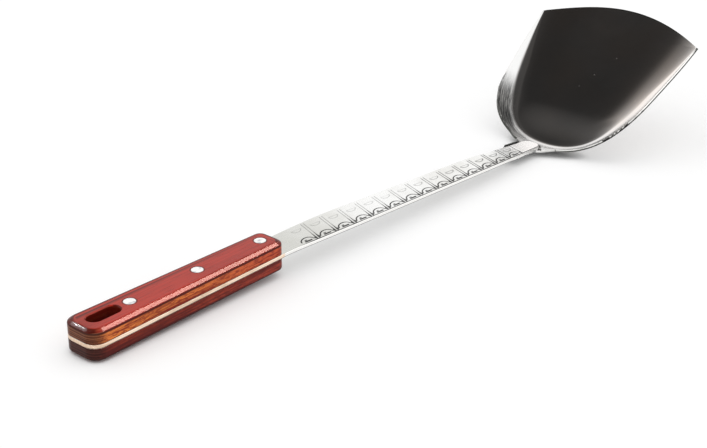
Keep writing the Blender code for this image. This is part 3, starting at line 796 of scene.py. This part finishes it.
def makeShaft():
    s = shaft
    total = s["handleLength"] + s["length"]
    corner = s["buttCorner"] * (1 - np.cos(np.linspace(0, math.pi / 2, 14)))
    tang = np.linspace(s["buttCorner"], s["handleLength"] + 1.0, 60)[1:]
    bare = np.arange(tang[-1] + s["stationStep"], total - s["noseCorner"], s["stationStep"])
    nose = total - s["noseCorner"] * (1 - np.sin(np.linspace(0, math.pi / 2, 22)))
    stations = np.concatenate([corner, tang, bare, nose])
    half = barHalfWidth(stations)
    thick, edge = s["thickness"] / 2, s["edgeBreak"]

    def surface(across, side):
        t = np.linspace(-1, 1, across + 1)
        y = half[:, None] * t[None, :]
        rimward = half[:, None] - edge * 1.001
        # the two outermost rows follow the rounded edge
        y[:, 1], y[:, -2] = -(half - edge * 0.3), half - edge * 0.3
        y[:, 2], y[:, -3] = -rimward[:, 0], rimward[:, 0]
        x = np.repeat(stations[:, None], across + 1, axis=1)
        toEdge = np.minimum(half[:, None] - np.abs(y), np.minimum(x, total - x))
        fall = edge - np.sqrt(np.maximum(edge**2 - (edge - np.clip(toEdge, 0, edge)) ** 2, 0))
        z = side * (thick - fall) - barDrop(x)
        return np.stack([x, y, z], axis=-1)

    # each station is a closed loop: over the top, down the far side, back under and up the near side
    top, under = surface(s["across"], 1), surface(s["underAcross"], -1)
    farSide = np.stack([stations, half, -barDrop(stations) - thick + s["lineHeight"]], axis=-1)[:, None]
    nearSide = farSide * (1, -1, 1)
    loop = np.concatenate([top, farSide, under[:, ::-1], nearSide], axis=1)
    ring = loop.shape[1]
    vertices = loop.reshape(-1, 3)
    # a painted shade line low on both sides
    lowShadeLine = np.zeros((len(stations), ring))
    faded = 1 - smoothStep((stations - total + s["lineEnds"]) / s["lineFade"])
    lowShadeLine[:, [top.shape[1] + 1, ring - 2]] = faded[:, None]
    faces = []
    for i in range(len(stations) - 1):
        for j in range(ring):
            k = (j + 1) % ring
            faces.append((i * ring + j, (i + 1) * ring + j, (i + 1) * ring + k, i * ring + k))
    faces.append(tuple(range(ring)))
    faces.append(tuple(reversed(range((len(stations) - 1) * ring, len(stations) * ring))))
    piece = meshObject("engravedShaft", vertices * mm, faces)
    wide, shift = barHalfWidth(vertices[:, 0]), engraving["farShift"] * swellAt(vertices[:, 0])
    mark(piece, "underLine", lowShadeLine)
    mark(piece, "fromNear", (wide + vertices[:, 1]) * mm)
    mark(piece, "fromFar", (wide - vertices[:, 1] - shift) * mm)
    piece.data.materials.append(shaftSteel)
    cutHoles(piece)
    e = engraving
    addTree(piece, "engraveShaft", engrave, {
        "Front": s["handleLength"] * mm, "First": e["first"] * mm, "Pitch": e["pitch"] * mm,
        "Panels": float(e["panels"]), "Slant": e["slant"], "Depth": e["depth"] * mm, "Line": e["line"] * mm,
        "Base Half": e["baseHalf"] * mm, "Base Inset": e["baseInset"] * mm, "Base Thick": e["baseThick"] * mm,
        "Arch Half": e["archHalf"] * mm, "Arch Rise": e["archRise"] * mm,
        "Bar Offset": e["barOffset"] * mm, "Bar Inset": e["barInset"] * mm,
        "Bar Faint": e["barFaint"], "Bar Plain": e["barPlain"],
        "Far Half": e["farHalf"] * mm, "Far Rise": e["farRise"] * mm, "Far Inset": e["farInset"] * mm,
        "Far Share": e["farShare"], "Far Share Ahead": e["farShareAhead"], "Finish": shaftSteel})
    freeze(piece, smoothDeg=40.0)
    seat(piece, "shaft_tang")
    return piece


shaftPiece = makeShaft()
print("shaft engraved:", len(shaftPiece.data.polygons), "faces")


# Wooden scales
# Lengths in these three dictionaries are in metres, as the finishes read Object coordinates.

wood = dict(
    layerScale=420.0, layerWander=0.0016, endScale=1500.0, figureShare=0.45, goldenSpan=0.14,
    redderFrom=0.080, redderTo=0.005, redderShare=0.85, poreShare=0.6, shadeLineWidth=0.0007, shadeLineShare=0.95,
    slotHalf=0.0050, slotFrom=0.003, slotShadeShare=0.97, rivetRing=0.0031, ringWidth=0.0005, ringShare=0.7,
    endFrom=0.002, endTo=0.0095, chamferShadeShare=0.85, edgeShadeLineShare=0.9, coat=0.16, reliefDepth=0.00005)

upperLook = dict(
    light=(0.47, 0.034, 0.019), deep=(0.24, 0.018, 0.010), golden=(0.84, 0.235, 0.050),
    frontGolden=(0.60, 0.080, 0.036), poreAndShade=(0.070, 0.006, 0.004), shadedEndGrain=(0.20, 0.070, 0.032),
    shadedEndStripe=(0.050, 0.012, 0.006), slotShadeColor=(0.13, 0.009, 0.005), goldenFrom=0.39, fleck=0.25,
    endShadeShare=0.95, shadeLineHeight=0.00575, lacquer=0.25)

# the lower scale's colours are darker than the upper's, as painted shade
shadedLowerLook = dict(
    light=(0.24, 0.018, 0.012), deep=(0.10, 0.010, 0.008), golden=(0.30, 0.036, 0.016),
    frontGolden=(0.42, 0.055, 0.030), poreAndShade=(0.045, 0.006, 0.005), shadedEndGrain=(0.060, 0.018, 0.013),
    shadedEndStripe=(0.018, 0.005, 0.004), slotShadeColor=(0.020, 0.003, 0.002), goldenFrom=0.44, fleck=0.4,
    endShadeShare=0.9, shadeLineHeight=0.0060, lacquer=0.28)


# red-dyed laminated wood: thin layers lie flat in the scale and show as stripes on its sides
def makeWood(name, own):
    look = {**wood, **own}
    material, graph, shader = newMaterial(name)
    place = graph.coordinate("Object")
    across = graph.split(place).out("Y")
    flat = graph.add("ShaderNodeMapping", None, {"Vector": place, "Rotation": (0.0, restTilt, 0.0)})
    x, z = graph.split(flat).out("X"), graph.split(flat).out("Z")
    normal = graph.split(graph.coordinate("Normal"))
    facing, turned = normal.out("Z"), normal.out("Y")

    # noise drawn out along the handle
    def grained(along, through, detail, roughness, distortion=0.0):
        return graph.stretchedNoise(flat, (along, through, through), detail, roughness, distortion)

    layer = z + look["layerWander"] * grained(11.0, 40.0, 3.0, 0.55)
    veneer = graph.layered(layer, look["layerScale"], 2.0, 0.6)
    grain = grained(20.0, 900.0, 5.0, 0.65, 0.1)
    broad = grained(16.0, 120.0, 3.0, 0.5)
    flecks = grained(300.0, 1500.0, 2.0, 0.6)
    pores = graph.smooth(grained(80.0, 3200.0, 2.0, 0.5), 0.58, 0.70)
    side = graph.smooth(abs(facing), 0.25, 0.60, 1.0, 0.0)
    figure = graph.smooth(0.5 * grain + 0.5 * broad, 0.40, 0.62)
    tone = graph.mixColor(figure * look["figureShare"], look["light"], look["deep"])
    # golden layers among the red ones, redder towards the shaft
    glow = graph.smooth(0.20 * veneer + 0.45 * grain + 0.35 * broad,
                        look["goldenFrom"], look["goldenFrom"] + look["goldenSpan"])
    glow = glow * graph.smooth(flecks, 0.36, 0.56, look["fleck"], 1.0)
    redder = graph.smooth(x, frontEnd - look["redderFrom"], frontEnd - look["redderTo"],
                          0.0, look["redderShare"])
    golden = graph.mixColor(redder, look["golden"], look["frontGolden"])
    tone = graph.mixColor(side, tone, graph.mixColor(glow, look["deep"], golden))
    tone = graph.mixColor(pores * look["poreShare"], tone, look["poreAndShade"])
    # painted shade makes a dark line under the chamfer and the slot almost black inside
    under = graph.band(abs(z - flatZero) - look["shadeLineHeight"], look["shadeLineWidth"])
    tone = graph.mixColor(under * look["shadeLineShare"], tone, look["poreAndShade"])
    inSlot = graph.smooth(abs(facing), 0.3, 0.5, 1.0, 0.0)
    inSlot = inSlot * graph.smooth(abs(across), look["slotHalf"] - 0.0008, look["slotHalf"], 1.0, 0.0)
    slotStart = buttEnd + look["slotFrom"]
    inSlot = inSlot * graph.smooth(x, slotStart, slotStart + 0.001)
    # painted shade inside the slot
    tone = graph.mixColor(inSlot * look["slotShadeShare"], tone, look["slotShadeColor"])
    # a dark ring where the stain gathers round each rivet
    apart = rivetPlaces[1] - rivetPlaces[0]
    fromRivet = ((x - flatStart - rivetPlaces[0] + apart / 2) % apart) - apart / 2
    ring = graph.band((fromRivet * fromRivet + across * across) ** 0.5 - look["rivetRing"], look["ringWidth"])
    tone = graph.mixColor(ring * look["ringShare"], tone, look["poreAndShade"])
    # end grain round the butt, in thin stripes, made darker on its upright faces by painted shade
    butt = graph.smooth(x, buttEnd + look["endFrom"], buttEnd + look["endTo"], 1.0, 0.0)
    butt = butt * graph.smooth(abs(facing), 0.62, 0.95, 1.0, 0.25)
    thin = graph.layered(layer, look["endScale"], 1.0)
    striped = graph.smooth(thin + 0.4 * (broad - 0.5), 0.42, 0.58)
    ends = graph.mixColor(striped, look["shadedEndGrain"], look["shadedEndStripe"])
    tone = graph.mixColor(butt * look["endShadeShare"], tone, ends)
    # painted shade darkens the chamfer, all but its long near side, with a painted shade line on its far side
    # and front
    shadedChamfer = graph.smooth(facing, 0.35, 0.50) * graph.smooth(facing, 0.82, 0.95, 1.0, 0.0)
    shadedChamfer = shadedChamfer * graph.smooth(turned, -0.56, -0.42)
    inset = graph.attribute("inset") - handle["chamferWidth"] * mm
    beyond = graph.smooth(across, 0.003, 0.006).most(graph.smooth(x, frontEnd - 0.0048, frontEnd - 0.0036))
    edgeShadeLine = graph.smooth(inset, 0.0006, 0.0012, 1.0, 0.0) * graph.smooth(facing, 0.6, 0.9) * beyond
    chamferShade = (shadedChamfer * look["chamferShadeShare"]).most(edgeShadeLine * look["edgeShadeLineShare"])
    tone = graph.mixColor(chamferShade, tone, look["poreAndShade"])
    # along the shaded chamfer the lacquer is rubbed off, all but a broken line
    kept = graph.band(inset + 0.0009, 0.0005) * graph.smooth(flecks, 0.42, 0.56)
    feed(graph, shader, Base_Color=tone, Roughness=look["lacquer"] + 0.08 * grain + 0.08 * pores,
         Specular_IOR_Level=0.05, Coat_Weight=look["coat"] * (1.0 - shadedChamfer * (1.0 - kept)),
         Coat_Roughness=0.05, Normal=bumped(graph, 0.5 * grain - 0.7 * pores, look["reliefDepth"], 0.35))
    return material


upperWood, shadedLowerWood = makeWood("upperWood", upperLook), makeWood("shadedLowerWood", shadedLowerLook)


# outline of a scale drawn in from its edge by inset
def scaleRing(inset):
    h = handle
    butt, front, length = shaft["buttWidth"] / 2, shaft["frontWidth"] / 2, shaft["handleLength"]
    corners = [(0, -butt), (length, -front), (length, front), (0, butt)]
    radii = [shaft["buttCorner"], h["frontCorner"], h["frontCorner"], shaft["buttCorner"]]
    ring = []
    for i, radius in enumerate(radii):
        corner, before, after = Vector(corners[i]), Vector(corners[i - 1]), Vector(corners[(i + 1) % 4])
        a, b = (before - corner).normalized(), (after - corner).normalized()
        halfAngle = a.angle(b) / 2
        centre = corner + (a + b).normalized() * radius / math.sin(halfAngle)
        start = corner + a * radius / math.tan(halfAngle) - centre
        end = corner + b * radius / math.tan(halfAngle) - centre
        first = math.atan2(start.y, start.x)
        sweepAngle = math.remainder(math.atan2(end.y, end.x) - first, math.tau)
        for step in range(h["arcSteps"] + 1):
            angle = first + sweepAngle * step / h["arcSteps"]
            ring.append(centre + Vector((math.cos(angle), math.sin(angle))) * (radius - inset))
    return ring


def makeScale(name, node, side, material):
    h = handle
    inner = shaft["thickness"] / 2 + shaft["clearance"] * 0.5
    # (inset, height) from the glue line up to the top face: a flat chamfer with a small round at each end
    profile = [(0.15, inner), (0.0, inner + 0.15), (0.0, inner + 1.6), (0.0, inner + 3.2)]
    width, drop = h["chamferWidth"], h["chamferDrop"]
    for corner, before, after in (((0, -drop), (0, -1), (width, drop)), ((width, 0), (-width, -drop), (1, 0))):
        corner = Vector((corner[0], halfHeight + corner[1]))
        start = corner + Vector(before).normalized() * h["cornerRound"]
        end = corner + Vector(after).normalized() * h["cornerRound"]
        for step in range(h["roundSteps"] + 1):
            t = step / h["roundSteps"]
            profile.append(tuple(start * (1 - t) ** 2 + corner * 2 * t * (1 - t) + end * t * t))
    profile.append((width + 1.2, halfHeight))
    rings = [[(p.x, p.y, side * height) for p in scaleRing(inset)] for inset, height in profile]
    count = len(rings[0])
    vertices = [p for ring in rings for p in ring]
    faces = [tuple(range(count)), tuple(range((len(rings) - 1) * count, len(rings) * count))]
    for level in range(len(rings) - 1):
        faces += ringWall(level * count, (level + 1) * count, count)
    piece = meshObject(name, np.array(vertices) * mm, faces)
    mark(piece, "inset", np.repeat([inset * mm for inset, _ in profile], count))
    bm = bmesh.new()
    bm.from_mesh(piece.data)
    bmesh.ops.recalc_face_normals(bm, faces=bm.faces)
    bm.to_mesh(piece.data)
    bm.free()
    piece.data.materials.append(material)
    cutHoles(piece)
    freeze(piece, smoothDeg=32.0)
    seat(piece, node)
    return piece


upperScale = makeScale("upperWoodScale", "upper_scale", 1, upperWood)
lowerScale = makeScale("lowerWoodScale", "lower_scale", -1, shadedLowerWood)
print("scales shaped")


# Rivets

rivet = dict(fullness=1.395, dish=0.008, points=120, sides=72, proud=0.04)


# ground flush, satin and a little tarnished
def makeRivetMetal():
    look = dict(color=(0.70, 0.695, 0.68), tarnishColor=(0.44, 0.45, 0.46), tarnishScale=420.0,
                grinding=(180.0, 2200.0, 2200.0), roughness=0.30, reliefDepth=0.00005)
    material, graph, shader = newMaterial("groundRivetMetal")
    place = graph.coordinate("Object")
    ground = graph.stretchedNoise(place, look["grinding"], 3.0, 0.6)
    tarnish = graph.smooth(graph.noise(place, look["tarnishScale"], 3.0, 0.5), 0.50, 0.68)
    feed(graph, shader, Base_Color=graph.mixColor(tarnish, look["color"], look["tarnishColor"]),
         Metallic=1.0, Roughness=look["roughness"] + 0.14 * ground,
         Normal=bumped(graph, ground, look["reliefDepth"], 0.5))
    return material


rivetMetal = makeRivetMetal()


# a tube along a curve, its width given by a field
def sweep(graph, path, profile, radius):
    node = graph.tree.nodes.new("GeometryNodeCurveToMesh")
    graph.tree.links.new(path.socket, node.inputs["Curve"])
    graph.tree.links.new(profile.socket, node.inputs["Profile Curve"])
    if "Scale" in node.inputs:
        graph.tree.links.new(radius.socket, node.inputs["Scale"])
    node.inputs["Fill Caps"].default_value = True
    made = Wire(graph, node.outputs["Mesh"])
    return graph.add("GeometryNodeSetShadeSmooth", None, {"Geometry": made, "Shade Smooth": True})


# a straight curve with so many points, for a tree to bend
def pointLine(graph, count):
    line = graph.add("GeometryNodeCurvePrimitiveLine", None, {"Start": (0, 0, 0), "End": (0, 0, 1)})
    return graph.add("GeometryNodeResampleCurve", None, {"Curve": line, "Count": count})


# the points go to their places, and a circle is swept along them
def roundBar(graph, line, place, radius, sides):
    line = graph.add("GeometryNodeSetPosition", None, {"Geometry": line, "Position": place})
    line = graph.add("GeometryNodeSetCurveRadius", None, {"Curve": line, "Radius": radius})
    circle = graph.add("GeometryNodeCurvePrimitiveCircle", None, {"Resolution": sides, "Radius": 1.0})
    return sweep(graph, line, circle, radius)


# a pin turned about its own axis; its profile is half a circle cut flat at the sides and ends
def turnPin(graph, given):
    turn = graph.add("GeometryNodeInputIndex") * (math.pi / (rivet["points"] - 1))
    level = turn.math("COSINE", turn)
    flat = (level * -given["Fullness"]).most(-1.0).least(1.0) * (1.0 - rivet["dish"]) - level * rivet["dish"]
    radius = (turn.math("SINE", turn) * given["Fullness"]).most(0.0).least(1.0) * given["Radius"]
    place = graph.add("ShaderNodeCombineXYZ", None, {"X": given["Place"], "Z": flat * given["Half Height"]})
    return roundBar(graph, pointLine(graph, rivet["points"]), place, radius, rivet["sides"])


def makeRivets():
    for number, place in enumerate(rivetPlaces, 1):
        piece = meshObject(f"rivetPin{number}", [(0, 0, 0)], [])
        addTree(piece, f"turnPin{number}", turnPin, {
            "Radius": handle["rivetDiameter"] / 2 * mm, "Half Height": (halfHeight + rivet["proud"]) * mm,
            "Place": place, "Fullness": rivet["fullness"], "Finish": rivetMetal})
        freeze(piece, smoothDeg=60.0)
        seat(piece, f"rivet_{number}")


makeRivets()
print("rivets set")


# Weld bead

weld = dict(radius=0.65, sweepDeg=75.0, thinning=0.9, points=96, sides=20, ripple=0.10, ripplePitch=0.75)


def makeWeldMetal():
    look = dict(color=(0.50, 0.48, 0.46), scaleColor=(0.02, 0.018, 0.016), scaling=520.0, roughness=0.38,
                reliefDepth=0.0002)
    material, graph, shader = newMaterial("weldBeadMetal")
    scale = graph.noise(graph.coordinate("Object"), look["scaling"], 3.0, 0.55)
    tone = graph.mixColor(graph.smooth(scale, 0.4, 0.7), look["color"], look["scaleColor"])
    feed(graph, shader, Base_Color=tone, Metallic=0.9, Roughness=look["roughness"] + 0.3 * scale,
         Normal=bumped(graph, scale, look["reliefDepth"], 0.6))
    return material


weldMetal = makeWeldMetal()


# a rippled bead laid round the nose, thinner at its ends
def layBead(graph, given):
    across = graph.add("GeometryNodeInputIndex") * (2.0 / (weld["points"] - 1)) - 1.0
    angle = across * math.radians(weld["sweepDeg"])
    x = given["Centre"] + given["Reach"] * angle.math("COSINE", angle)
    y = given["Straight"] * across + given["Reach"] * angle.math("SINE", angle)
    place = graph.add("ShaderNodeCombineXYZ", None, {"X": x, "Y": y, "Z": given["Height"]})
    thin = (1.0 - weld["thinning"] * across * across) ** 0.5
    wave = across * given["Ripples"] * math.pi
    radius = given["Radius"] * thin * (1.0 + weld["ripple"] * abs(wave.math("SINE", wave)) - weld["ripple"])
    return roundBar(graph, pointLine(graph, weld["points"]), place, radius, weld["sides"])


def makeWeld():
    s = shaft
    nose = s["handleLength"] + s["length"]
    reach = s["noseCorner"] + s["clearance"] + weld["radius"]
    straight = s["noseWidth"] / 2 - s["noseCorner"]
    length = 2 * (math.radians(weld["sweepDeg"]) * reach + straight)
    piece = meshObject("noseWeldBead", [(0, 0, 0)], [])
    addTree(piece, "layBead", layBead, {
        "Centre": (nose - s["noseCorner"]) * mm, "Reach": reach * mm, "Straight": straight * mm,
        "Height": (-float(barDrop(nose)) - s["thickness"] / 2 + weld["radius"]) * mm,
        "Radius": weld["radius"] * mm, "Ripples": length / weld["ripplePitch"], "Finish": weldMetal})
    freeze(piece, smoothDeg=60.0)
    seat(piece, "neck_weld")


makeWeld()
bpy.data.objects.remove(cutter)
print("weld laid")


# Table, light and camera

studio = dict(
    tableSize=6.0, tableColor=(0.73, 0.73, 0.73), tableLift=0.32, contactReach=0.006,
    skyLight=0.94, mirrorLight=1.55, warmLight=(1.0, 0.965, 0.94),
    keyPower=1.0, keyPlace=(-0.25, 0.75, 1.0), keyTarget=(0.0, 0.0, 0.0), keySize=(1.1, 0.8))

# what the polished steel mirrors: a dark ceiling in a bright room, and softer spots on it
# (way is where a spot lies, inner and outer are its radii in degrees)
mirrored = dict(
    ceiling=dict(way=(-0.252, 0.085, 0.964), inner=30.0, outer=48.5, level=0.060),
    screen=dict(way=(0.72, -0.18, 0.67), inner=10.0, outer=20.0, level=0.22),
    dark=dict(way=(-0.19, 0.43, 0.88), inner=1.0, outer=17.0, share=0.64),
    heel=dict(way=(0.03, 0.48, 0.877), inner=1.0, outer=9.0, level=0.012),
    rim=dict(way=(0.075, 0.62, 0.78), inner=1.0, outer=7.5, share=0.60))

# two lamps that shine only on the lacquered handle: a strip along it and a glint on the butt's corner
strip = dict(place=(0.54, -0.326, 0.948), target=(-0.147, -0.008, 0.017), run=(0.19, 0.05, -0.124),
             size=(0.55, 0.24), power=19.0, color=(1.0, 0.70, 0.60))
glint = dict(place=(-0.43, 0.56, 0.54), target=(-0.2, 0.0, 0.017), size=(0.06, 0.06), power=4.5)

view = dict(
    place=(-0.5634325, -0.4632625, 0.3212621), right=(0.66392097, -0.74761749, 0.01664432),
    up=(0.29622396, 0.28336795, 0.91211511), back=(-0.68662968, -0.6006419, 0.40959614),
    focalPixels=1600.0, pixelsWide=707, sensorWidth=36.0)


def makeTable():
    material, graph, shader = newMaterial("paleTable")
    mottle = graph.noise(graph.coordinate("Object"), 60.0, 3.0, 0.5)
    dimmer = tuple(c * 0.985 for c in studio["tableColor"])
    feed(graph, shader, Base_Color=graph.mixColor(mottle, studio["tableColor"], dimmer), Roughness=0.9,
         Specular_IOR_Level=0.0)
    # lifted to white where it is seen, but not close under the spatula, which paints a contact shadow there
    path = graph.add("ShaderNodeLightPath")
    seen = path.out("Is Camera Ray").most(path.out("Is Glossy Ray")).most(path.out("Is Transmission Ray"))
    openness = graph.add("ShaderNodeAmbientOcclusion", {"samples": 8},
                         {"Distance": studio["contactReach"]}, out="AO")
    lift = seen * studio["tableLift"] * graph.smooth(openness, 0.15, 0.85)
    glow = graph.mixColor(lift, (0.0, 0.0, 0.0), (1.0, 1.0, 1.0))
    feed(graph, shader, Emission_Color=glow, Emission_Strength=1.0)
    half = studio["tableSize"] / 2
    table = meshObject("table", [(-half, -half, 0), (half, -half, 0), (half, half, 0), (-half, half, 0)],
                       [(0, 1, 2, 3)])
    table.location.z = -0.1 * mm
    table.data.materials.append(material)


def makeSky():
    world = bpy.data.worlds.new("studioSky")
    scene.world = world
    world.use_nodes = True
    world.node_tree.nodes.clear()
    graph = Graph(world.node_tree)
    way = graph.add("ShaderNodeVectorMath", {"operation": "NORMALIZE"}, {0: graph.coordinate("Generated")})

    # 1 inside a round spot of the sky, fading out between its two radii
    def patch(spot):
        towards = tuple(Vector(spot["way"]).normalized())
        nearness = graph.add("ShaderNodeVectorMath", {"operation": "DOT_PRODUCT"},
                             {0: way, 1: towards}, out="Value")
        outer, inner = (math.cos(math.radians(spot[key])) for key in ("outer", "inner"))
        return graph.smooth(nearness, outer, inner)

    spots = {name: patch(spot) for name, spot in mirrored.items()}
    ceiling = mirrored["ceiling"]["level"] * (1.0 - mirrored["dark"]["share"] * spots["dark"])
    ceiling = ceiling + mirrored["heel"]["level"] * spots["heel"]
    light = 1.0 - (1.0 - mirrored["screen"]["level"]) * spots["screen"]
    light = light * (1.0 - (1.0 - ceiling) * spots["ceiling"]) * (1.0 - mirrored["rim"]["share"] * spots["rim"])
    path = graph.add("ShaderNodeLightPath")
    glossy = path.out("Is Glossy Ray")
    camera = path.out("Is Camera Ray").most(path.out("Is Transmission Ray"))
    # a plain sky lights the pieces, and the camera sees white behind them
    level = studio["skyLight"] * (1.0 - glossy) * (1.0 - camera)
    level = level + glossy * light * studio["mirrorLight"] + camera
    tint = graph.mixColor(spots["ceiling"] * glossy, (1.0, 1.0, 1.0), studio["warmLight"])
    shine = graph.add("ShaderNodeBackground", None, {"Color": tint, "Strength": level})
    graph.add("ShaderNodeOutputWorld", None, {"Surface": shine})


def areaLamp(name, power, size, place, target, color=(1.0, 1.0, 1.0)):
    light = bpy.data.lights.new(name, "AREA")
    light.energy, light.color = power, color
    light.shape, light.size, light.size_y = "RECTANGLE", *size
    lamp = bpy.data.objects.new(name, light)
    lamp.location = place
    lamp.rotation_euler = (Vector(target) - lamp.location).to_track_quat("-Z", "Y").to_euler()
    scene.collection.objects.link(lamp)
    return lamp


def makeLamps():
    key = areaLamp("keyLight", studio["keyPower"], studio["keySize"], studio["keyPlace"], studio["keyTarget"])
    key.visible_glossy = False
    lacquered = bpy.data.collections.new("lacquered")
    for piece in (upperScale, lowerScale):
        lacquered.objects.link(piece)
    stripLamp = areaLamp("handleStrip", strip["power"], strip["size"], strip["place"], strip["target"],
                         strip["color"])
    # the strip is turned so that its long side lies along the near chamfer's mirror image
    back = (Vector(strip["place"]) - Vector(strip["target"])).normalized()
    run = Vector(strip["run"])
    run = (run - back * run.dot(back)).normalized()
    turned = Matrix((run, back.cross(run), back)).transposed().to_4x4()
    stripLamp.matrix_world = Matrix.Translation(strip["place"]) @ turned
    glintLamp = areaLamp("buttGlint", glint["power"], glint["size"], glint["place"], glint["target"])
    for lamp in (stripLamp, glintLamp):
        lamp.visible_diffuse = False
        lamp.light_linking.receiver_collection = lacquered


def makeCamera():
    data = bpy.data.cameras.new("camera")
    data.sensor_fit, data.sensor_width = "HORIZONTAL", view["sensorWidth"]
    data.lens = view["focalPixels"] / view["pixelsWide"] * view["sensorWidth"]
    data.clip_start, data.clip_end = 0.01, 50.0
    camera = bpy.data.objects.new("camera", data)
    turned = Matrix((view["right"], view["up"], view["back"])).transposed().to_4x4()
    camera.matrix_world = Matrix.Translation(view["place"]) @ turned
    scene.collection.objects.link(camera)
    scene.camera = camera


makeTable()
makeSky()
makeLamps()
makeCamera()
scene.view_settings.view_transform = "Standard"
print("studio set")

bpy.context.view_layer.update()
